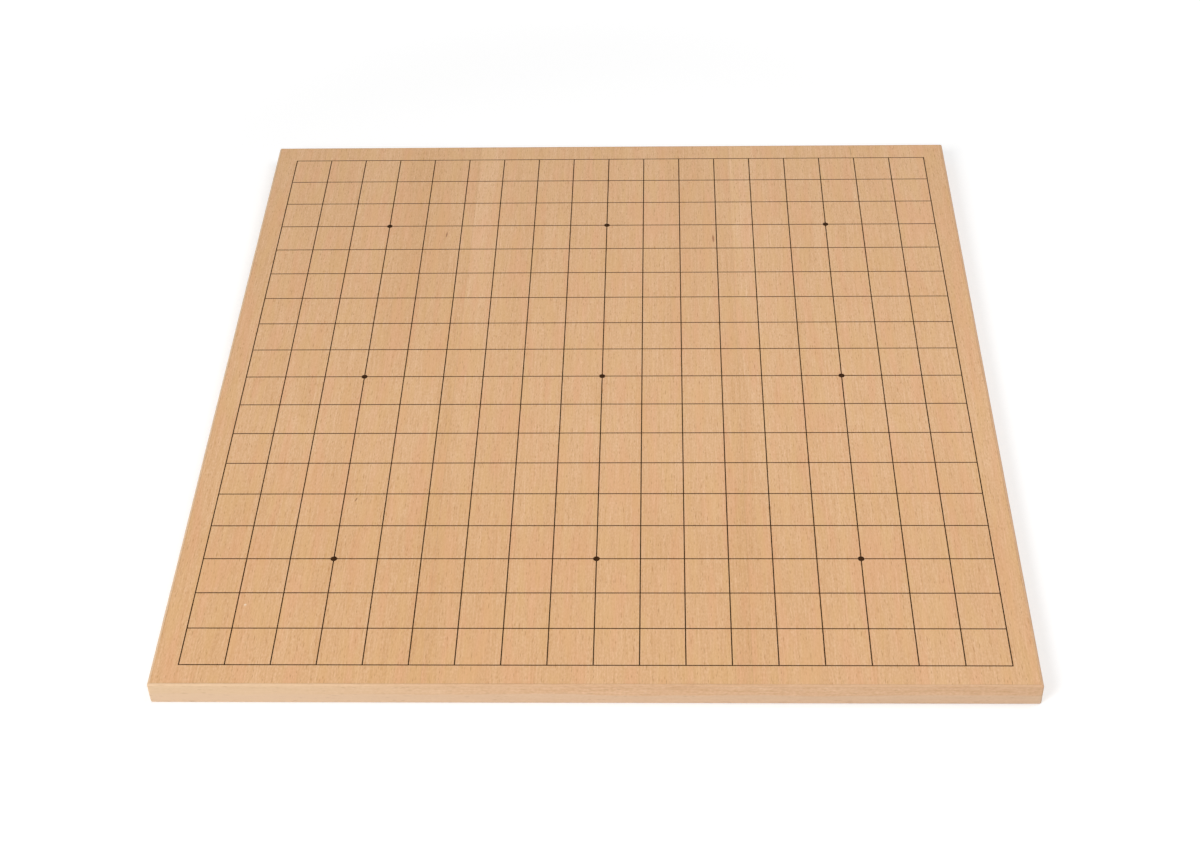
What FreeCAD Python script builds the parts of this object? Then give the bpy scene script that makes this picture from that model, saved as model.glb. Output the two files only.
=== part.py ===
# Weiqi board: a veneered panel with wooden edge bands and a printed grid of 19 by 19 lines.
# It lies flat: the origin is under its centre, X runs across, Y away from the player and Z up.
# All lengths are in millimetres.
import FreeCAD, Part
import os
import Sketcher

# Counts set by the game: lines each way, the line that carries the first star point, star points each way
LINES = 19
STAR_LINE = 4
STAR_ROWS = 3

SIZES = {
    # Printed grid: the spaces are longer away from the player than across
    "pitch_across": 22.0,
    "pitch_along": 23.7,
    "line_width": 0.6,
    "star_diameter": 3.4,
    "ink_thickness": 0.05,
    # Wood outside the centres of the outermost lines: at the front and both sides, and at the back
    "margin": 13.0,
    "back_margin": 15.0,
    # Fibreboard core, faced with veneer above and below
    "core_thickness": 12.0,
    "veneer_thickness": 0.3,
    # Full width of a veneer leaf, and how far the middle leaf lies from the middle of the board
    "leaf_width": 156.7,
    "leaf_shift": -2.95,
    # Edge bands glued on after the veneer, with their outer edges sanded round
    "band_thickness": 1.3,
    "arris_radius": 1.1,
}

# The rounded edge takes no more than this much of the band
ARRIS_SHARE = 0.9

# Sizes and places that follow from the driving ones
GRID_ACROSS = f"({LINES - 1} * Sizes.pitch_across)"
GRID_ALONG = f"({LINES - 1} * Sizes.pitch_along)"
BOARD_WIDTH = f"({GRID_ACROSS} + 2 * Sizes.margin)"
BOARD_DEPTH = f"({GRID_ALONG} + Sizes.margin + Sizes.back_margin)"
PANEL_WIDTH = f"({BOARD_WIDTH} - 2 * Sizes.band_thickness)"
PANEL_DEPTH = f"({BOARD_DEPTH} - 2 * Sizes.band_thickness)"
CORE_TOP = "(Sizes.veneer_thickness + Sizes.core_thickness)"
BOARD_THICKNESS = f"({CORE_TOP} + Sizes.veneer_thickness)"
LEFT_JOINT = "(Sizes.leaf_shift - Sizes.leaf_width / 2)"
RIGHT_JOINT = "(Sizes.leaf_shift + Sizes.leaf_width / 2)"
ARRIS_RADIUS = f"min(Sizes.arris_radius; {ARRIS_SHARE} * Sizes.band_thickness)"

document = FreeCAD.newDocument("WeiqiBoard")
sheet = document.addObject("Spreadsheet::Sheet", "Sizes")
for row, (alias, value) in enumerate(SIZES.items(), start=1):
    sheet.set(f"A{row}", alias.replace("_", " "))
    sheet.set(f"B{row}", str(value))
    sheet.setAlias(f"B{row}", alias)
document.recompute()


def new_body(name, x="0", y="0", z="0"):
    """The body of one piece, with its own origin placed on the board by three expressions."""
    body = document.addObject("PartDesign::Body", name)
    body.Label = name
    for axis, expression in zip("xyz", (x, y, z)):
        body.setExpression(f".Placement.Base.{axis}", expression)
    return body


def new_sketch(body, name):
    """A sketch on the body's own XY plane."""
    sketch = body.newObject("Sketcher::SketchObject", name)
    plane = next(item for item in body.Origin.OriginFeatures if item.Role == "XY_Plane")
    sketch.AttachmentSupport = [(plane, "")]
    sketch.MapMode = "FlatFace"
    return sketch


def locate(sketch, geometry, vertex, x, y):
    """Hold a sketch point at a place from the sketch's origin, or on it where no place is given."""
    if x is None and y is None:
        sketch.addConstraint(Sketcher.Constraint("Coincident", geometry, vertex, -1, 1))
        return
    for kind, expression in (("DistanceX", x), ("DistanceY", y)):
        index = sketch.addConstraint(Sketcher.Constraint(kind, -1, 1, geometry, vertex, 1))
        sketch.setExpression(f"Constraints[{index}]", expression)


def rectangle(sketch, width, depth, x=None, y=None):
    """An upright rectangle, centred on the sketch's origin or on a given place.

    It is first drawn a unit each way from its middle, and its constraints then set the real size.
    """
    turns = [(-1, -1), (1, -1), (1, 1), (-1, 1), (-1, -1)]
    corners = [FreeCAD.Vector(across, along, 0) for across, along in turns]
    for start, end in zip(corners, corners[1:]):
        sketch.addGeometry(Part.LineSegment(start, end), False)
    centre = sketch.addGeometry(Part.Point(FreeCAD.Vector(0, 0, 0)), True)
    for side in range(4):
        sketch.addConstraint(Sketcher.Constraint("Coincident", side, 2, (side + 1) % 4, 1))
        sketch.addConstraint(Sketcher.Constraint("Vertical" if side % 2 else "Horizontal", side))
    sketch.addConstraint(Sketcher.Constraint("Symmetric", 0, 1, 1, 2, centre, 1))
    for side, kind, expression in ((0, "DistanceX", width), (1, "DistanceY", depth)):
        index = sketch.addConstraint(Sketcher.Constraint(kind, side, 1, side, 2, 2))
        sketch.setExpression(f"Constraints[{index}]", expression)
    locate(sketch, centre, 1, x, y)


def circle(sketch, diameter, x, y):
    """A circle on a given place, first drawn a unit wide and then sized by its constraints."""
    ring = sketch.addGeometry(Part.Circle(FreeCAD.Vector(1, 1, 0), FreeCAD.Vector(0, 0, 1), 1), False)
    index = sketch.addConstraint(Sketcher.Constraint("Diameter", ring, 2))
    sketch.setExpression(f"Constraints[{index}]", diameter)
    locate(sketch, ring, 3, x, y)


def pad(body, sketch, height):
    """Raise the sketch's outline by a height."""
    feature = body.newObject("PartDesign::Pad", f"{sketch.Name}Pad")
    feature.Profile = sketch
    feature.setExpression("Length", height)
    document.recompute()
    return feature


def repeat(body, feature, *directions):
    """Copy a feature along one or two axes of its sketch, each given as axis, extent and count."""
    pattern = body.newObject("PartDesign::LinearPattern", f"{feature.Name}Pattern")
    pattern.Originals = [feature]
    for suffix, (axis, extent, count) in zip(("", "2"), directions):
        setattr(pattern, f"Direction{suffix}", (feature.Profile[0], [axis]))
        setattr(pattern, f"Occurrences{suffix}", count)
        pattern.setExpression(f"Length{suffix}", extent)
    pattern.Refine = True
    body.Tip = pattern
    document.recompute()
    return pattern


def slab(name, width, depth, height, **place):
    """A flat rectangular piece centred on its own origin."""
    body = new_body(name, **place)
    outline = new_sketch(body, f"{name}_outline")
    rectangle(outline, width, depth)
    pad(body, outline, height)
    return body


def veneer_face(side, z):
    """One face of the panel: three leaves cut in turn from one stack and laid side by side, unflipped."""
    edge = f"({PANEL_WIDTH} / 2)"
    leaves = {
        "left": (f"-{edge}", LEFT_JOINT),
        "middle": (LEFT_JOINT, RIGHT_JOINT),
        "right": (RIGHT_JOINT, edge),
    }
    for leaf, (start, end) in leaves.items():
        slab(
            f"{side}_veneer_{leaf}",
            f"{end} - {start}",
            PANEL_DEPTH,
            "Sizes.veneer_thickness",
            x=f"({start} + {end}) / 2",
            z=z,
        )


def exposed_edges(body):
    """Names of the edges where two outside faces of the board meet."""
    half_width = body.evalExpression(f"{BOARD_WIDTH} / 2")
    half_depth = body.evalExpression(f"{BOARD_DEPTH} / 2")
    thickness = body.evalExpression(BOARD_THICKNESS)
    reach = FreeCAD.Base.Precision.approximation()
    names = []
    for number, edge in enumerate(body.Shape.Edges, start=1):
        middle = edge.CenterOfMass
        offsets = (abs(middle.x) - half_width, abs(middle.y) - half_depth, middle.z, middle.z - thickness)
        if sum(abs(offset) < reach for offset in offsets) == 2:
            names.append(f"Edge{number}")
    return names


def edge_band(name, width, depth, **place):
    """One strip of edge band over the panel's whole thickness, with its outside edges eased."""
    body = slab(name, width, depth, BOARD_THICKNESS, **place)
    strip = body.Tip
    ease = body.newObject("PartDesign::Fillet", f"{name}_arris")
    ease.Base = (strip, exposed_edges(body))
    ease.setExpression("Radius", ARRIS_RADIUS)
    document.recompute()


def star_outline(body):
    """The star point nearest the grid's front left corner, drawn from that corner."""
    outline = new_sketch(body, f"{body.Name}_star")
    lines_in = STAR_LINE - 1
    across = f"{lines_in} * Sizes.pitch_across"
    along = f"{lines_in} * Sizes.pitch_along"
    circle(outline, "Sizes.star_diameter", across, along)
    return outline


def repeat_stars(body, star):
    """The star points stand evenly between the first and the last, each way."""
    reach = LINES + 1 - 2 * STAR_LINE
    across = ("H_Axis", f"{reach} * Sizes.pitch_across", STAR_ROWS)
    along = ("V_Axis", f"{reach} * Sizes.pitch_along", STAR_ROWS)
    return repeat(body, star, across, along)


def opening(body, sketch):
    """Cut the sketch's outline up through the film of ink."""
    base = body.Tip
    feature = body.newObject("PartDesign::Pocket", f"{sketch.Name}_opening")
    feature.Profile = sketch
    feature.Type = "ThroughAll"
    feature.Reversed = True
    document.recompute()
    if not feature.Shape.Volume < base.Shape.Volume:
        raise RuntimeError(f"{feature.Name} cuts nothing")
    return feature


def grid_lines(**corner):
    """The printed lines: one film of ink, open at the star points and between the lines."""
    body = new_body("grid_lines", **corner)
    film = new_sketch(body, "film")
    rectangle(
        film,
        f"{GRID_ACROSS} + Sizes.line_width",
        f"{GRID_ALONG} + Sizes.line_width",
        f"{GRID_ACROSS} / 2",
        f"{GRID_ALONG} / 2",
    )
    pad(body, film, "Sizes.ink_thickness")
    repeat_stars(body, opening(body, star_outline(body)))
    window = new_sketch(body, "window")
    rectangle(
        window,
        "Sizes.pitch_across - Sizes.line_width",
        "Sizes.pitch_along - Sizes.line_width",
        "Sizes.pitch_across / 2",
        "Sizes.pitch_along / 2",
    )
    windows = LINES - 1
    across = ("H_Axis", f"{windows - 1} * Sizes.pitch_across", windows)
    along = ("V_Axis", f"{windows - 1} * Sizes.pitch_along", windows)
    repeat(body, opening(body, window), across, along)


def star_points(**corner):
    """The printed star points, each filling the opening that the lines leave for it."""
    body = new_body("star_points", **corner)
    repeat_stars(body, pad(body, star_outline(body), "Sizes.ink_thickness"))


slab("core_panel", PANEL_WIDTH, PANEL_DEPTH, "Sizes.core_thickness", z="Sizes.veneer_thickness")
veneer_face("bottom", "0")
veneer_face("top", CORE_TOP)

end_place = f"({BOARD_DEPTH} - Sizes.band_thickness) / 2"
side_place = f"({BOARD_WIDTH} - Sizes.band_thickness) / 2"
edge_band("edge_band_front", BOARD_WIDTH, "Sizes.band_thickness", y=f"-{end_place}")
edge_band("edge_band_back", BOARD_WIDTH, "Sizes.band_thickness", y=end_place)
edge_band("edge_band_left", "Sizes.band_thickness", PANEL_DEPTH, x=f"-{side_place}")
edge_band("edge_band_right", "Sizes.band_thickness", PANEL_DEPTH, x=side_place)

# Both prints are drawn from the crossing of the front and left lines, a margin in from both edges
first_crossing = {
    "x": f"Sizes.margin - {BOARD_WIDTH} / 2",
    "y": f"Sizes.margin - {BOARD_DEPTH} / 2",
    "z": BOARD_THICKNESS,
}
grid_lines(**first_crossing)
star_points(**first_crossing)

document.recompute()
for item in document.Objects:
    if "Invalid" in item.State or "Error" in item.State:
        raise RuntimeError(f"{item.Label} failed: {item.State}")
pieces = [item for item in document.Objects if item.TypeId == "PartDesign::Body"]
for piece in pieces:
    if piece.Shape.isNull() or not piece.Shape.isValid():
        raise RuntimeError(f"{piece.Label} has no valid shape")

os.makedirs("parts", exist_ok=True)
for piece in pieces:
    piece.Shape.exportStep(f"parts/{piece.Label}.step")
    box = piece.Shape.BoundBox
    extent = " x ".join(f"{side:.2f}" for side in (box.XLength, box.YLength, box.ZLength))
    print(f"{piece.Label}: {len(piece.Shape.Solids)} solid(s), {extent} mm, {piece.Shape.Volume:.2f} mm3")
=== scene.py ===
import math
from functools import partial

import bpy
from mathutils import Matrix, Vector


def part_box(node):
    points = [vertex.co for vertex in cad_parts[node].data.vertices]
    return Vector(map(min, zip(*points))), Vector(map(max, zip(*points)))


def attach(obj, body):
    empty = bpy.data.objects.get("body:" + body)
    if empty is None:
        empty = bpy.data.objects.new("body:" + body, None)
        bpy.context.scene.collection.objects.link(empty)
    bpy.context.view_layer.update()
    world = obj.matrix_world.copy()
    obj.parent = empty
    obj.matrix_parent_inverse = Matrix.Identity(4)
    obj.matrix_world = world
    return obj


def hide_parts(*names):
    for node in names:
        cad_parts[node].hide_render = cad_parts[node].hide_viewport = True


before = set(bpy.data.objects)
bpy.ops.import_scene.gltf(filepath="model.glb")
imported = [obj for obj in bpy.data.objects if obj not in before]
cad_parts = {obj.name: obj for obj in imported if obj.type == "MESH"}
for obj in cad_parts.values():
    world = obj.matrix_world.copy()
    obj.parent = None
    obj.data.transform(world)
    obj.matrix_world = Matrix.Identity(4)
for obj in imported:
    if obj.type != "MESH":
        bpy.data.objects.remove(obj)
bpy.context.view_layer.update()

# Lengths are millimetres in the materials and where a name or comment says so, and metres otherwise
MM = 0.001
LINES = 19
STARS_EACH_WAY = 3
LINES_BETWEEN_STARS = 6
LINE_WIDTH = 0.6 * MM

# Shares of the ink's thickness that the lines have, and of a star point's radius that lies at full height
LINE_INK_SHARE = 0.8
STAR_CROWN_SHARE = 0.85

# From one veneer leaf to the next the figure moves over by a step, in millimetres, and deeper into the wood
FIGURE_STEP = 4.8
SLICE_DEPTH = 0.1

# The tone of the wood's middle shade
MIDDLE_TONE = 0.5

TOP_LEAVES = ["top_veneer_left", "top_veneer_middle", "top_veneer_right"]
BOTTOM_LEAVES = ["bottom_veneer_left", "bottom_veneer_middle", "bottom_veneer_right"]
CROSS_BANDS = ["edge_band_front", "edge_band_back"]
SIDE_BANDS = ["edge_band_left", "edge_band_right"]

# The leaf joints, the edge of the veneer and the middle of the core, in millimetres
middle_leaf = [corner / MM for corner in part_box("top_veneer_middle")]
joint = middle_leaf[0].x
leaf_width = middle_leaf[1].x - middle_leaf[0].x
veneer_half_depth = middle_leaf[1].y
veneer_half_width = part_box("top_veneer_right")[1].x / MM
core_middle = sum(corner.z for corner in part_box("core_panel")) / 2 / MM

# The printed film and the point under its middle, on the veneer
film_low, film_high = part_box("grid_lines")
pitch_across = (film_high.x - film_low.x - LINE_WIDTH) / (LINES - 1)
pitch_along = (film_high.y - film_low.y - LINE_WIDTH) / (LINES - 1)
film_thickness = film_high.z - film_low.z
film_middle = (film_low + film_high) / 2
print_place = (film_middle.x, film_middle.y, film_low.z)
star_low, star_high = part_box("star_points")
star_span = (STARS_EACH_WAY - 1) * LINES_BETWEEN_STARS * pitch_across
star_diameter = star_high.x - star_low.x - star_span


def linear(hex_colour):
    """An sRGB hex colour in the linear values that nodes and lamps take."""
    values = [int(hex_colour[i : i + 2], 16) / 255 for i in (1, 3, 5)]
    return [v / 12.92 if v <= 0.04045 else ((v + 0.055) / 1.055) ** 2.4 for v in values] + [1.0]


def add(tree, kind, *feeds, named=None, **settings):
    """Add a node with its settings, and feed its live inputs with values or other nodes' outputs."""
    node = tree.nodes.new(kind)
    for name, value in settings.items():
        setattr(node, name, value)
    live = [socket for socket in node.inputs if socket.enabled]
    pairs = list(zip(live, feeds))
    pairs += [(next(s for s in live if s.name == name), feed) for name, feed in (named or {}).items()]
    for socket, feed in pairs:
        if isinstance(feed, bpy.types.Node):
            feed = next(output for output in feed.outputs if output.enabled)
        if isinstance(feed, bpy.types.NodeSocket):
            tree.links.new(feed, socket)
        elif feed is not None:
            socket.default_value = feed
    return node


def new_material(name):
    """An empty node material, and the call that adds a node to it."""
    made = bpy.data.materials.new(name)
    made.use_nodes = True
    made.node_tree.nodes.clear()
    return made, partial(add, made.node_tree)


def new_group(name, kind, inputs, outputs):
    """An empty node group with its named sockets, and the call that adds a node to it."""
    tree = bpy.data.node_groups.new(name, kind)
    for direction, sockets in (("INPUT", inputs), ("OUTPUT", outputs)):
        for label, socket_kind in sockets.items():
            tree.interface.new_socket(label, in_out=direction, socket_type="NodeSocket" + socket_kind)
    return tree, partial(add, tree)


def millimetres(put):
    """A point of the piece in millimetres, split into its three axes."""
    place = put("ShaderNodeTexCoord").outputs["Object"]
    place = put("ShaderNodeVectorMath", place, (1 / MM,) * 3, operation="MULTIPLY")
    return put("ShaderNodeSeparateXYZ", place).outputs


def stripe(put, value, centre, half, soft):
    """One near a value, falling softly to nothing outside half its width."""
    away = put("ShaderNodeMath", value, centre, operation="SUBTRACT")
    away = put("ShaderNodeMath", away, operation="ABSOLUTE")
    return put("ShaderNodeMapRange", away, half + soft, half, 0.0, 1.0, interpolation_type="SMOOTHSTEP")


def pattern_place(put, across, along, width, length, start=0.0):
    """A place in a pattern whose forms are this wide and long, in millimetres."""
    widths = put("ShaderNodeMath", across, 1 / width, operation="MULTIPLY")
    lengths = put("ShaderNodeMath", along, 1 / length, operation="MULTIPLY")
    return put("ShaderNodeCombineXYZ", widths, lengths, start)


def leaf_place(put, across):
    """The number of the leaf at a point, counted from the middle one, and the way in from its left joint."""
    from_joint = put("ShaderNodeMath", across, joint, operation="SUBTRACT")
    leaf = put("ShaderNodeMath", from_joint, leaf_width, operation="DIVIDE")
    leaf = put("ShaderNodeMath", leaf, operation="FLOOR")
    return leaf, put("ShaderNodeMath", from_joint, leaf_width, operation="FLOORED_MODULO")


def seen_directly(put):
    """One for rays from the camera, a gloss or a glass, and nothing for those that only carry light."""
    rays = put("ShaderNodeLightPath").outputs
    seen = put("ShaderNodeMath", rays["Is Camera Ray"], rays["Is Glossy Ray"], operation="MAXIMUM")
    return put("ShaderNodeMath", seen, rays["Is Transmission Ray"], operation="MAXIMUM")


def beech_figure():
    """Beech grain as a tone about nothing, and the short brown flecks of its rays."""
    tree, put = new_group(
        "beech figure",
        "ShaderNodeTree",
        {"Across": "Float", "Along": "Float", "Leaf": "Float"},
        {"Tone": "Float", "Flecks": "Float"},
    )
    across, along, leaf = list(put("NodeGroupInput").outputs)[:3]

    # The grain wanders sideways by up to 4 mm as it runs
    wander_place = pattern_place(put, across, along, 90, 170)
    wander = put("ShaderNodeTexNoise", wander_place, leaf, 1.0, 1.0, noise_dimensions="4D")
    leaning = put("ShaderNodeMath", wander, 4.0, across, operation="MULTIPLY_ADD")

    # Each layer has its streaks' width and length in millimetres, and how far it moves the tone
    layers = (
        (22, 420, 0.18),
        (2.4, 90, 0.18),
        (0.9, 30, 0.40),
        (0.6, 7, 0.42),
        (0.65, 1.7, 0.60),
    )
    tone = None
    for width, length, reach in layers:
        place = pattern_place(put, leaning, along, width, length)
        noise = put("ShaderNodeTexNoise", place, leaf, 1.0, 1.0, noise_dimensions="4D")
        layer = put("ShaderNodeMapRange", noise, 0.0, 1.0, -reach, reach, clamp=False)
        tone = layer if tone is None else put("ShaderNodeMath", tone, layer, operation="ADD")

    # Each kind of fleck has its spacing across and along, its width and length in millimetres, and its share
    # of the places. A real one is 0.1 to 0.2 mm wide, and here it is as wide as it has to be to show.
    kinds = (
        (1.3, 4.6, 0.45, 2.8, 0.40),
        (3.1, 9.0, 0.55, 5.0, 0.35),
    )
    flecks = None
    for gap_across, gap_along, width, length, share in kinds:
        place = pattern_place(put, leaning, along, gap_across, gap_along)
        cell = put("ShaderNodeTexVoronoi", place, 1.0, voronoi_dimensions="2D")
        offset = put("ShaderNodeVectorMath", place, cell.outputs["Position"], operation="SUBTRACT")
        narrowing = (2 * gap_across / width, 2 * gap_along / length, 0)
        shape = put("ShaderNodeVectorMath", offset, narrowing, operation="MULTIPLY")
        reach = put("ShaderNodeVectorMath", shape, operation="LENGTH")
        inside = put("ShaderNodeMapRange", reach, 1.0, 0.3, 0.0, 1.0)
        chance = put("ShaderNodeSeparateColor", cell.outputs["Color"])
        strength = put("ShaderNodeMapRange", chance, 1 - share, 1.0, 0.0, 1.0)
        layer = put("ShaderNodeMath", inside, strength, operation="MULTIPLY")
        flecks = layer if flecks is None else put("ShaderNodeMath", flecks, layer, operation="MAXIMUM")

    put("NodeGroupOutput", tone, flecks)
    return tree


figure = beech_figure()


def wood_tones(put, tone, dark, middle, light):
    """The wood's colour from its tone, between three shades."""
    colour = put("ShaderNodeValToRGB", tone)
    colour.color_ramp.elements[0].color = linear(dark)
    colour.color_ramp.elements[1].color = linear(light)
    colour.color_ramp.elements.new(MIDDLE_TONE).color = linear(middle)
    return colour


def stained(put, colour, mask, strength, shade):
    """The colour with a shade laid over it where the mask is."""
    amount = put("ShaderNodeMath", mask, strength, operation="MULTIPLY")
    return put("ShaderNodeMix", amount, colour, linear(shade), data_type="RGBA")


def pores(put, flecks, strength, depth):
    """Shallow hollows at the wood's flecks, with their depth in millimetres."""
    return put(
        "ShaderNodeBump",
        named={"Strength": strength, "Distance": depth * MM, "Height": flecks},
        invert=True,
    )


def face_veneer():
    """Beech face veneer: knife-cut leaves laid side by side from one stack, sanded, under satin lacquer.

    The eye sees a pale, even wood with fine straight grain, whose figure starts again at each joint.
    """
    made, put = new_material("lacquered_beech_face_veneer")
    across, along, _ = millimetres(put)

    # Each leaf is the next slice of the stack
    leaf, in_leaf = leaf_place(put, across)
    in_stack = put("ShaderNodeMath", leaf, -FIGURE_STEP, in_leaf, operation="MULTIPLY_ADD")
    slice_depth = put("ShaderNodeMath", leaf, SLICE_DEPTH, operation="MULTIPLY")
    grain = put("ShaderNodeGroup", in_stack, along, slice_depth, node_tree=figure)

    # The wood darkens in the last 11 mm to each leaf's right edge
    tone = put("ShaderNodeMath", grain.outputs["Tone"], MIDDLE_TONE, operation="ADD")
    edge_wood = put("ShaderNodeMapRange", in_leaf, leaf_width - 11, leaf_width, 0.0, -0.14)
    tone = put("ShaderNodeMath", tone, edge_wood, operation="ADD")

    # Toward the back each leaf has a darker zone to the right, which fades from slice to slice, and a lighter
    # one by its left edge. Toward the front that edge is dark too.
    back = put("ShaderNodeMapRange", along, 20.0, 150.0, 0.0, 1.0, interpolation_type="SMOOTHSTEP")
    dark = put("ShaderNodeMapRange", along, -30.0, 120.0, 0.0, 1.0, interpolation_type="SMOOTHSTEP")
    by_slice = put("ShaderNodeMapRange", leaf, -1.0, 0.0, 1.0, 0.35)
    fading = put("ShaderNodeMath", dark, by_slice, operation="MULTIPLY")
    front = put("ShaderNodeMapRange", along, 60.0, -140.0, 0.0, 1.0, interpolation_type="SMOOTHSTEP")
    for reach, centre, half, soft, shift in (
        (fading, 126, 14, 14, -0.12),
        (back, 4, 5, 8, 0.10),
        (front, 0, 2, 6, -0.09),
    ):
        zone = put("ShaderNodeMath", stripe(put, in_leaf, centre, half, soft), reach, operation="MULTIPLY")
        tone = put("ShaderNodeMath", zone, shift, tone, operation="MULTIPLY_ADD")

    # Near the player the wood is a little deeper in colour
    near = put("ShaderNodeMapRange", along, -40.0, -150.0, 0.0, -0.12, interpolation_type="SMOOTHSTEP")
    tone = put("ShaderNodeMath", tone, near, operation="ADD")
    colour = wood_tones(put, tone, "#d09f6d", "#ddb083", "#eac199")

    # Soft patches along the grain are pinker or yellower than the rest
    for start, width, length, shade in ((0.0, 8, 60, "#e2a57c"), (5.0, 6, 40, "#dcb075")):
        place = pattern_place(put, in_stack, along, width, length, start)
        patch = put("ShaderNodeTexNoise", place, slice_depth, 1.0, 1.0, noise_dimensions="4D")
        patch = put("ShaderNodeMapRange", patch, 0.45, 0.65, 0.0, 1.0, interpolation_type="SMOOTHSTEP")
        colour = stained(put, colour, patch, 0.3, shade)

    # The short dark flecks are the wood's rays, cut open by the knife
    colour = stained(put, colour, grain.outputs["Flecks"], 0.65, "#a8723a")

    # Fine joints between the leaves
    colour = stained(put, colour, stripe(put, in_leaf, 0.0, 0.05, 0.12), 0.3, "#8a5f3c")

    # The glue line round the panel, where the edge bands begin, shows in some stretches more than in others
    side = put("ShaderNodeMath", across, operation="ABSOLUTE")
    side = put("ShaderNodeMath", veneer_half_width, side, operation="SUBTRACT")
    end = put("ShaderNodeMath", along, operation="ABSOLUTE")
    end = put("ShaderNodeMath", veneer_half_depth, end, operation="SUBTRACT")
    edge = put("ShaderNodeMath", side, end, operation="MINIMUM")
    glue = put("ShaderNodeMapRange", edge, 0.35, 0.15, 0.0, 1.0)
    place = put("ShaderNodeCombineXYZ", across, along)
    showing = put("ShaderNodeTexNoise", place, 1 / 40, 2.0, noise_dimensions="2D")
    showing = put("ShaderNodeMapRange", showing, 0.35, 0.65, 0.25, 1.0)
    glue = put("ShaderNodeMath", glue, showing, operation="MULTIPLY")
    colour = stained(put, colour, glue, 0.42, "#7d5434")

    # Each single mark has its middle, half its width and length, its lean, its strength and its shade
    for middle, half, lean, strength, shade in (
        ((-96.6, 132.2), (0.5, 3.3), 0.06, 0.75, "#83471d"),
        ((64.0, 127.0), (0.75, 4.6), -0.06, 0.7, "#94542c"),
        ((-125.6, -100.0), (0.45, 1.8), 0.3, 0.7, "#7a4820"),
        ((-172.0, -175.0), (0.8, 0.8), 0.0, 0.6, "#f6e6cf"),
        ((152.7, 219.5), (0.3, 7.0), 0.0, 0.45, "#8a5f3c"),
    ):
        upward = put("ShaderNodeMath", along, middle[1], operation="SUBTRACT")
        sideways = put("ShaderNodeMath", across, middle[0], operation="SUBTRACT")
        sideways = put("ShaderNodeMath", upward, -lean, sideways, operation="MULTIPLY_ADD")
        place = pattern_place(put, sideways, upward, *half)
        reach = put("ShaderNodeVectorMath", place, operation="LENGTH")
        mark = put("ShaderNodeMapRange", reach, 1.0, 0.5, 0.0, 1.0)
        colour = stained(put, colour, mark, strength, shade)

    # Lacquer covers the flecks a little less evenly than the wood between them
    sheen = put("ShaderNodeMapRange", grain.outputs["Flecks"], 0.0, 1.0, 0.42, 0.55)
    bump = pores(put, grain.outputs["Flecks"], 0.2, 0.03)
    surface = put("ShaderNodeBsdfPrincipled", colour, named={"Roughness": sheen, "IOR": 1.5, "Normal": bump})
    put("ShaderNodeOutputMaterial", surface)
    return made


def balancing_veneer():
    """Balancing veneer: a lower grade of beech on the underside, under one thin coat of lacquer.

    It looks browner and drier than the face, with a broader, more restless figure.
    """
    made, put = new_material("thinly_lacquered_beech_balancing_veneer")
    across, along, _ = millimetres(put)
    leaf, in_leaf = leaf_place(put, across)
    slice_depth = put("ShaderNodeMath", leaf, 7.0, 3.0, operation="MULTIPLY_ADD")
    grain = put("ShaderNodeGroup", across, along, slice_depth, node_tree=figure)

    # Flat-sawn figure: contours of a slow noise, about 12 mm apart
    place = pattern_place(put, across, along, 60, 420)
    swell = put("ShaderNodeTexNoise", place, slice_depth, 1.0, 2.0, 0.35, noise_dimensions="4D")
    rings = put("ShaderNodeMath", swell, 14.0, operation="MULTIPLY")
    ring = put("ShaderNodeMath", rings, 1.0, operation="PINGPONG")
    contour = put("ShaderNodeMapRange", ring, 0.0, 1.0, 0.62, 0.38, interpolation_type="SMOOTHSTEP")
    tone = put("ShaderNodeMath", contour, grain.outputs["Tone"], operation="ADD")
    colour = wood_tones(put, tone, "#a87a50", "#c89c70", "#ddb68c")
    colour = stained(put, colour, grain.outputs["Flecks"], 0.6, "#805532")
    colour = stained(put, colour, stripe(put, in_leaf, 0.0, 0.08, 0.15), 0.6, "#6e4a2c")
    bump = pores(put, grain.outputs["Flecks"], 0.5, 0.05)
    surface = put("ShaderNodeBsdfPrincipled", colour, named={"Roughness": 0.62, "IOR": 1.5, "Normal": bump})
    put("ShaderNodeOutputMaterial", surface)
    return made


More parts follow.
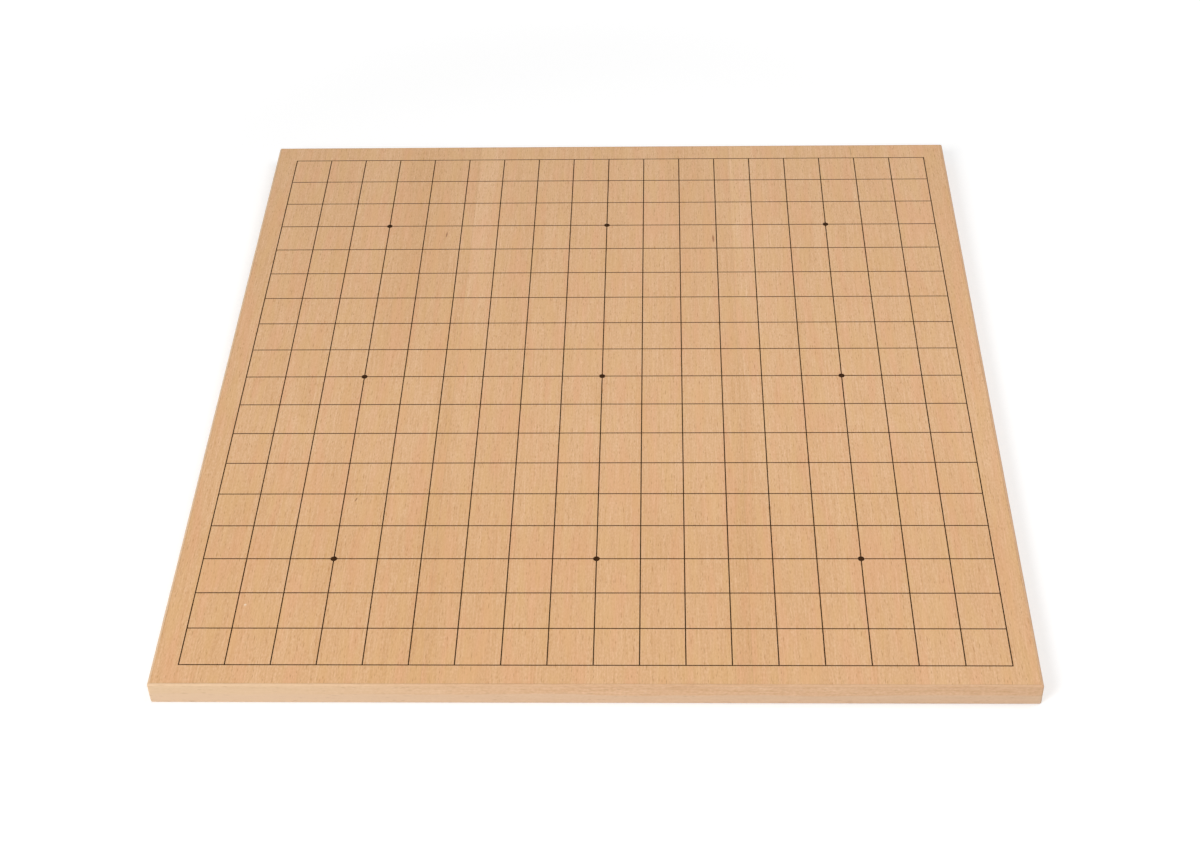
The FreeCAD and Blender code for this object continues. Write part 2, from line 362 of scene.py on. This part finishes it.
def edge_band(name, along_x):
    """Beech edge band: a thin strip of solid wood with its grain along the edge, eased and lacquered.

    It looks paler than the veneer, with fine streaks along its length and darker end grain.
    """
    made, put = new_material(name)
    x, y, z = millimetres(put)
    along, outward = (x, y) if along_x else (y, x)

    # The grain goes through the strip, so across it the figure is read from both other axes
    out = put("ShaderNodeMath", outward, operation="ABSOLUTE")
    out = put("ShaderNodeMath", out, 0.6, operation="MULTIPLY")
    across = put("ShaderNodeMath", z, 0.55, operation="MULTIPLY")
    across = put("ShaderNodeMath", across, out, operation="SUBTRACT")
    side = put("ShaderNodeMath", outward, 0.0, operation="GREATER_THAN")
    strip = put("ShaderNodeMath", side, 5.0, 2.0, operation="MULTIPLY_ADD")
    grain = put("ShaderNodeGroup", across, along, strip, node_tree=figure)
    tone = put("ShaderNodeMath", grain.outputs["Tone"], MIDDLE_TONE, operation="ADD")
    colour = wood_tones(put, tone, "#d1a377", "#deb38b", "#eac39e")

    # Pale sapwood lies along its lower half. Toward the left end the whole height is paler too, which is
    # painted light from the key's side
    drift = put("ShaderNodeMath", along, 1 / 70, operation="MULTIPLY")
    wander = put("ShaderNodeTexNoise", named={"W": drift, "Scale": 1.0}, noise_dimensions="1D")
    line = put("ShaderNodeMath", wander, 4.0, z, operation="MULTIPLY_ADD")
    sapwood = put("ShaderNodeMapRange", line, 9.2, 7.6, 0.0, 0.6, interpolation_type="SMOOTHSTEP")
    painted_light_to_left = put("ShaderNodeMapRange", x, 10.0, -190.0, 0.0, 0.75, interpolation_type="SMOOTHSTEP")
    colour = put("ShaderNodeMix", painted_light_to_left, colour, linear("#dfc19d"), data_type="RGBA")
    colour = put("ShaderNodeMix", sapwood, colour, linear("#dfbfa1"), data_type="RGBA")

    # The top arris is darkened with painted shade, to tone down the light its rounding catches, least at the
    # left
    arris_painted_shade = put("ShaderNodeMapRange", z, 11.2, 12.0, 0.0, 1.0, interpolation_type="SMOOTHSTEP")
    painted_shade_by_x = put("ShaderNodeMapRange", x, -150.0, -30.0, 0.15, 0.45, interpolation_type="SMOOTHSTEP")
    arris_painted_shade = put("ShaderNodeMath", arris_painted_shade, painted_shade_by_x, operation="MULTIPLY")
    colour = put("ShaderNodeMix", arris_painted_shade, colour, linear("#c9a17d"), data_type="RGBA")

    # End grain soaks up the lacquer and looks darker
    normal = put("ShaderNodeSeparateXYZ", put("ShaderNodeNewGeometry").outputs["Normal"])
    facing = put("ShaderNodeMath", normal.outputs[0 if along_x else 1], operation="ABSOLUTE")
    end = put("ShaderNodeMapRange", facing, 0.8, 1.0, 0.0, 0.35)
    colour = put("ShaderNodeMix", end, colour, linear("#b98a5f"), data_type="RGBA")
    colour = stained(put, colour, grain.outputs["Flecks"], 0.3, "#a87d58")
    bump = pores(put, grain.outputs["Flecks"], 0.25, 0.03)
    lacquer = {"Roughness": 0.48, "IOR": 1.5, "Specular IOR Level": 0.35, "Normal": bump}
    put("ShaderNodeOutputMaterial", put("ShaderNodeBsdfPrincipled", colour, named=lacquer))
    return made


def fibreboard():
    """Medium-density fibreboard: pressed wood fibre, darker and denser toward its faces.

    It looks like matt brown felt, without any grain.
    """
    made, put = new_material("pressed_medium_density_fibreboard")
    place = put("ShaderNodeTexCoord").outputs["Object"]
    fibre = put("ShaderNodeTexNoise", place, 1 / (0.8 * MM), 3.0)
    tone = put("ShaderNodeMapRange", fibre, 0.3, 0.7, 0.0, 1.0)
    colour = put("ShaderNodeMix", tone, linear("#9c7650"), linear("#c09a70"), data_type="RGBA")
    _, _, height = millimetres(put)
    away = put("ShaderNodeMath", height, core_middle, operation="SUBTRACT")
    away = put("ShaderNodeMath", away, operation="ABSOLUTE")
    dense = put("ShaderNodeMapRange", away, 3.0, 6.0, 0.0, 0.5)
    colour = put("ShaderNodeMix", dense, colour, linear("#7d5b3b"), data_type="RGBA")
    bump = put("ShaderNodeBump", named={"Strength": 0.4, "Distance": 0.05 * MM, "Height": fibre})
    surface = put("ShaderNodeBsdfPrincipled", colour, named={"Roughness": 0.85, "IOR": 1.5, "Normal": bump})
    put("ShaderNodeOutputMaterial", surface)
    return made


def printing_ink():
    """Screen-printing ink, pressed through a mesh and dried: a near-black brown film.

    It looks matt beside the lacquer, and is a touch thinner and browner where it bridges the grain.
    """
    made, put = new_material("screen_printed_brown_black_ink")
    across, along, _ = millimetres(put)
    place = pattern_place(put, across, along, 1.2, 8.0)
    cover = put("ShaderNodeTexNoise", place, 1.0, 2.0, noise_dimensions="2D")
    thin = put("ShaderNodeMapRange", cover, 0.45, 0.75, 0.0, 1.0)
    colour = put("ShaderNodeMix", thin, linear("#36200d"), linear("#4a2e16"), data_type="RGBA")
    bump = put("ShaderNodeBump", named={"Strength": 0.2, "Distance": 0.01 * MM, "Height": cover})
    film = {"Roughness": 0.6, "IOR": 1.5, "Specular IOR Level": 0.05, "Normal": bump}
    put("ShaderNodeOutputMaterial", put("ShaderNodeBsdfPrincipled", colour, named=film))
    return made


def white_table():
    """White laminate table: plain to the camera, and it keeps the board's shadow."""
    made, put = new_material("white_laminate_table")
    lit = put("ShaderNodeBsdfDiffuse", linear("#e6e6e6"))

    # Further out, where the soft boxes reach less, more of its white comes from itself
    distance = put("ShaderNodeTexCoord").outputs["Object"]
    distance = put("ShaderNodeVectorMath", distance, operation="LENGTH")
    bright = put("ShaderNodeMapRange", distance, 0.33, 0.8, 0.36, 0.85, interpolation_type="SMOOTHSTEP")
    glow = put("ShaderNodeEmission", linear("#ffffff"), bright)
    shown = put("ShaderNodeAddShader", put("ShaderNodeBsdfDiffuse", linear("#dedede")), glow)
    put("ShaderNodeOutputMaterial", put("ShaderNodeMixShader", seen_directly(put), lit, shown))
    return made


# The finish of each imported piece
for names, finish in (
    (TOP_LEAVES, face_veneer()),
    (BOTTOM_LEAVES, balancing_veneer()),
    (CROSS_BANDS, edge_band("lacquered_beech_cross_edge_band", True)),
    (SIDE_BANDS, edge_band("lacquered_beech_side_edge_band", False)),
    (["core_panel"], fibreboard()),
):
    for name in names:
        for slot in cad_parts[name].material_slots:
            slot.material = finish


def lattice_growth():
    """Printed lines as one film: a mesh grid drawn together into strips, with the windows cut out.

    Across each line lie four vertices, the outer two on the wood and the inner two at full height.
    """
    strip_spans = 3
    tree, put = new_group(
        "printed lattice",
        "GeometryNodeTree",
        {
            "Lines": "Int",
            "Steps Between Lines": "Int",
            "Pitch Across": "Float",
            "Pitch Along": "Float",
            "Line Width": "Float",
            "Ink Thickness": "Float",
            "Edge Wander": "Float",
            "Place": "Vector",
            "Ink": "Material",
        },
        {"Film": "Geometry"},
    )
    size = put("NodeGroupInput").outputs
    gaps = put("ShaderNodeMath", size["Lines"], 1.0, operation="SUBTRACT")
    per_line = put("ShaderNodeMath", size["Steps Between Lines"], strip_spans + 1, operation="ADD")
    spans = put("ShaderNodeMath", gaps, per_line, strip_spans, operation="MULTIPLY_ADD")
    count = put("ShaderNodeMath", spans, 1.0, operation="ADD")
    grid = put("GeometryNodeMeshGrid", spans, spans, count, count)

    # Each vertex counts its line, and its own place from the line's left or near rim
    half_spans = put("ShaderNodeMath", spans, 0.5, operation="MULTIPLY")
    number = put("ShaderNodeVectorMath", put("GeometryNodeInputPosition"), half_spans, operation="ADD")
    share = put("ShaderNodeVectorMath", number, (0.5, 0.5, 0), operation="ADD")
    share = put("ShaderNodeVectorMath", share, per_line, operation="DIVIDE")
    line = put("ShaderNodeVectorMath", share, operation="FLOOR")
    before = put("ShaderNodeVectorMath", line, per_line, operation="MULTIPLY")
    rest = put("ShaderNodeVectorMath", number, before, operation="SUBTRACT")

    # The first four lie across the line
    pitch = put("ShaderNodeCombineXYZ", size["Pitch Across"], size["Pitch Along"])
    width = put("ShaderNodeCombineXYZ", size["Line Width"], size["Line Width"])
    span = put("ShaderNodeVectorMath", width, (1 / strip_spans,) * 3, operation="MULTIPLY")
    across = put("ShaderNodeVectorMath", rest, (-strip_spans / 2, -strip_spans / 2, 0), operation="ADD")
    across = put("ShaderNodeVectorMath", across, span, operation="MULTIPLY")

    # The others step over to the next line
    window_size = put("ShaderNodeVectorMath", pitch, width, operation="SUBTRACT")
    steps = put("ShaderNodeMath", per_line, strip_spans, operation="SUBTRACT")
    step = put("ShaderNodeVectorMath", window_size, steps, operation="DIVIDE")
    beyond = put("ShaderNodeVectorMath", rest, (-strip_spans, -strip_spans, 0), operation="ADD")
    beyond = put("ShaderNodeVectorMath", beyond, step, operation="MULTIPLY")
    rim = put("ShaderNodeVectorMath", width, (0.5,) * 3, operation="MULTIPLY")
    beyond = put("ShaderNodeVectorMath", beyond, rim, operation="ADD")
    offset = put("ShaderNodeVectorMath", across, beyond, operation="MAXIMUM")
    middle = put("ShaderNodeMath", gaps, 0.5, operation="MULTIPLY")
    from_middle = put("ShaderNodeVectorMath", line, middle, operation="SUBTRACT")
    spread = put("ShaderNodeVectorMath", from_middle, pitch, offset, operation="MULTIPLY_ADD")
    flat = put("ShaderNodeVectorMath", spread, (1, 1, 0), operation="MULTIPLY")
    lifted = put("ShaderNodeVectorMath", flat, size["Place"], operation="ADD")
    drawn = put("GeometryNodeSetPosition", grid, named={"Position": lifted})

    # A face whose middle is off both lines is a window
    here = put("ShaderNodeVectorMath", put("GeometryNodeInputPosition"), size["Place"], operation="SUBTRACT")
    here = put("ShaderNodeVectorMath", here, pitch, operation="DIVIDE")
    from_line = put("ShaderNodeVectorMath", here, middle, operation="ADD")
    from_line = put("ShaderNodeVectorMath", from_line, (0.5, 0.5, 0), operation="ADD")
    from_line = put("ShaderNodeVectorMath", from_line, operation="FRACTION")
    from_line = put("ShaderNodeVectorMath", from_line, (0.5, 0.5, 0), operation="SUBTRACT")
    away = put("ShaderNodeVectorMath", from_line, pitch, operation="MULTIPLY")
    away = put("ShaderNodeVectorMath", away, operation="ABSOLUTE")
    away = put("ShaderNodeSeparateXYZ", away)
    nearest = put("ShaderNodeMath", away.outputs[0], away.outputs[1], operation="MINIMUM")
    half_line = put("ShaderNodeMath", size["Line Width"], 0.5, operation="MULTIPLY")
    window = put("FunctionNodeCompare", nearest, half_line, data_type="FLOAT", operation="GREATER_THAN")
    strips = put("GeometryNodeDeleteGeometry", drawn, window, domain="FACE")

    # The screen leaves a rim that wanders by a few hundredths of a millimetre, over about 4 mm
    waver = put("ShaderNodeTexNoise", None, 1 / (4 * MM), 1.0)
    waver = put("ShaderNodeVectorMath", waver.outputs["Color"], (-0.5, -0.5, -0.5), operation="ADD")
    sway = put("ShaderNodeCombineXYZ", size["Edge Wander"], size["Edge Wander"])
    waver = put("ShaderNodeVectorMath", waver, sway, operation="MULTIPLY")
    strips = put("GeometryNodeSetPosition", strips, named={"Offset": waver})

    # Ink stands at full height away from its rim, and a flat copy closes it underneath
    neighbours = put("GeometryNodeInputMeshEdgeNeighbors")
    rims = put("FunctionNodeCompare", neighbours, 1, data_type="INT", operation="EQUAL")
    rims = put("GeometryNodeFieldOnDomain", rims, data_type="BOOLEAN", domain="EDGE")
    inner = put("FunctionNodeBooleanMath", rims, operation="NOT")
    height = put("ShaderNodeCombineXYZ", 0.0, 0.0, size["Ink Thickness"])
    top = put("GeometryNodeSetPosition", strips, inner, named={"Offset": height})
    film = put("GeometryNodeJoinGeometry")
    tree.links.new(top.outputs[0], film.inputs[0])
    tree.links.new(put("GeometryNodeFlipFaces", strips).outputs[0], film.inputs[0])
    film = put("GeometryNodeMergeByDistance", film, named={"Distance": 0.001 * MM})
    film = put("GeometryNodeSetShadeSmooth", film)
    film = put("GeometryNodeRealizeInstances", film)
    put("NodeGroupOutput", put("GeometryNodeSetMaterial", film, named={"Material": size["Ink"]}))
    return tree


def star_growth():
    """Printed star points: one low round dot of ink set on every star crossing, each turned its own way."""
    tree, put = new_group(
        "printed star points",
        "GeometryNodeTree",
        {
            "Stars Each Way": "Int",
            "Spacing Across": "Float",
            "Spacing Along": "Float",
            "Diameter": "Float",
            "Ink Thickness": "Float",
            "Sides": "Int",
            "Place": "Vector",
            "Seed": "Int",
            "Ink": "Material",
        },
        {"Dots": "Geometry"},
    )
    size = put("NodeGroupInput").outputs
    gaps = put("ShaderNodeMath", size["Stars Each Way"], 1.0, operation="SUBTRACT")
    reach_across = put("ShaderNodeMath", gaps, size["Spacing Across"], operation="MULTIPLY")
    reach_along = put("ShaderNodeMath", gaps, size["Spacing Along"], operation="MULTIPLY")
    each_way = size["Stars Each Way"]
    crossings = put("GeometryNodeMeshGrid", reach_across, reach_along, each_way, each_way)

    # The dot is a flat cone, cut off a little inside its foot
    radius = put("ShaderNodeMath", size["Diameter"], 0.5, operation="MULTIPLY")
    crown = put("ShaderNodeMath", radius, STAR_CROWN_SHARE, operation="MULTIPLY")
    shape = {
        "Vertices": size["Sides"],
        "Radius Top": crown,
        "Radius Bottom": radius,
        "Depth": size["Ink Thickness"],
    }
    dot = put("GeometryNodeMeshCone", fill_type="TRIANGLE_FAN", named=shape).outputs["Mesh"]
    turns = {"Max": (0.0, 0.0, math.tau), "Seed": size["Seed"]}
    turn = put("FunctionNodeRandomValue", named=turns, data_type="FLOAT_VECTOR")
    dots = put("GeometryNodeInstanceOnPoints", crossings, named={"Instance": dot, "Rotation": turn})
    move = {"Translation": size["Place"], "Local Space": False}
    dots = put("GeometryNodeTranslateInstances", dots, named=move)
    dots = put("GeometryNodeRealizeInstances", dots)
    put("NodeGroupOutput", put("GeometryNodeSetMaterial", dots, named={"Material": size["Ink"]}))
    return tree


def grow(name, tree, sizes, node):
    """Grow a printed piece from its tree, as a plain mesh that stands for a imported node."""
    piece = bpy.data.objects.new(name, bpy.data.meshes.new(name))
    bpy.context.scene.collection.objects.link(piece)
    growth = piece.modifiers.new(name, "NODES")
    growth.node_group = tree
    sockets = {item.name: item.identifier for item in tree.interface.items_tree if item.in_out == "INPUT"}
    for key, size in sizes.items():
        growth[sockets[key]] = size
    ready = piece.evaluated_get(bpy.context.evaluated_depsgraph_get())
    mesh = bpy.data.meshes.new_from_object(ready)
    piece.modifiers.remove(growth)
    # The ink comes second in its mesh, after a slot that holds nothing
    mesh.materials.pop(index=0)
    piece.data = mesh
    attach(piece, "root")
    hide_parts(node)


ink = printing_ink()
grow(
    "printed_lines",
    lattice_growth(),
    {
        "Lines": LINES,
        "Steps Between Lines": 6,
        "Pitch Across": pitch_across,
        "Pitch Along": pitch_along,
        "Line Width": LINE_WIDTH,
        "Ink Thickness": LINE_INK_SHARE * film_thickness,
        "Edge Wander": 0.02 * MM,
        "Place": print_place,
        "Ink": ink,
    },
    "grid_lines",
)
grow(
    "printed_stars",
    star_growth(),
    {
        "Stars Each Way": STARS_EACH_WAY,
        "Spacing Across": LINES_BETWEEN_STARS * pitch_across,
        "Spacing Along": LINES_BETWEEN_STARS * pitch_along,
        "Diameter": star_diameter,
        "Ink Thickness": film_thickness,
        "Sides": 36,
        "Place": print_place,
        "Seed": 4,
        "Ink": ink,
    },
    "star_points",
)

# Camera, looking down on the near edge from where the photograph was taken
camera_place = Vector((31.9, -858.26, 731.63)) * MM
camera_aim = Vector((-0.36, -42.35, 12.6)) * MM
camera_roll = math.radians(-1.606)
lens = bpy.data.cameras.new("camera")
lens.sensor_width = 36
lens.lens = 60.675
camera = bpy.data.objects.new("camera", lens)
turn = (camera_aim - camera_place).to_track_quat("-Z", "Y").to_matrix().to_4x4()
camera.matrix_world = Matrix.Translation(camera_place) @ turn @ Matrix.Rotation(camera_roll, 4, "Z")
bpy.context.scene.collection.objects.link(camera)
bpy.context.scene.camera = camera

# Table, 8 m square
half_table = 4
corners = [(side * half_table, end * half_table, 0) for side, end in ((-1, -1), (1, -1), (1, 1), (-1, 1))]
table = bpy.data.objects.new("table", bpy.data.meshes.new("table"))
table.data.from_pydata(corners, [], [(0, 1, 2, 3)])
table.data.materials.append(white_table())
bpy.context.scene.collection.objects.link(table)

# Room: even light for the object, and for the eye and in reflections a white backdrop under a dimmer ceiling.
# Straight ahead the backdrop begins to dim 30 degrees up and ends 48 degrees up, and on the left it is lower.
backdrop_top = math.sin(math.radians(30))
ceiling_start = math.sin(math.radians(48))
even_light = 0.44
backdrop_light = 1.0
ceiling_light = 0.1
world = bpy.data.worlds.new("white_studio")
world.use_nodes = True
world.node_tree.nodes.clear()
put = partial(add, world.node_tree)
direction = put("ShaderNodeSeparateXYZ", put("ShaderNodeTexCoord").outputs["Generated"])
reach = put("ShaderNodeMath", direction.outputs[0], -0.5, direction.outputs[2], operation="MULTIPLY_ADD")
backdrop = put("ShaderNodeMapRange", reach, backdrop_top, ceiling_start, backdrop_light, ceiling_light)
strength = put("ShaderNodeMix", seen_directly(put), even_light, backdrop, data_type="FLOAT")
put("ShaderNodeOutputWorld", put("ShaderNodeBackground", linear("#ffffff"), strength))
bpy.context.scene.world = world

# Two round soft boxes aimed at the board: the key off the near left corner, and a fill above its right side
for name, place, size, energy in (
    ("key_soft_box", (-0.85, -1.08, 1.04), 0.8, 15.6),
    ("fill_soft_box", (0.43, -0.02, 0.96), 0.6, 3.3),
):
    lamp = bpy.data.lights.new(name, "AREA")
    lamp.shape = "DISK"
    lamp.size = size
    lamp.energy = energy
    soft_box = bpy.data.objects.new(name, lamp)
    place = Vector(place)
    soft_box.matrix_world = Matrix.Translation(place) @ (-place).to_track_quat("-Z", "Y").to_matrix().to_4x4()
    bpy.context.scene.collection.objects.link(soft_box)

bpy.context.scene.view_settings.view_transform = "Standard"
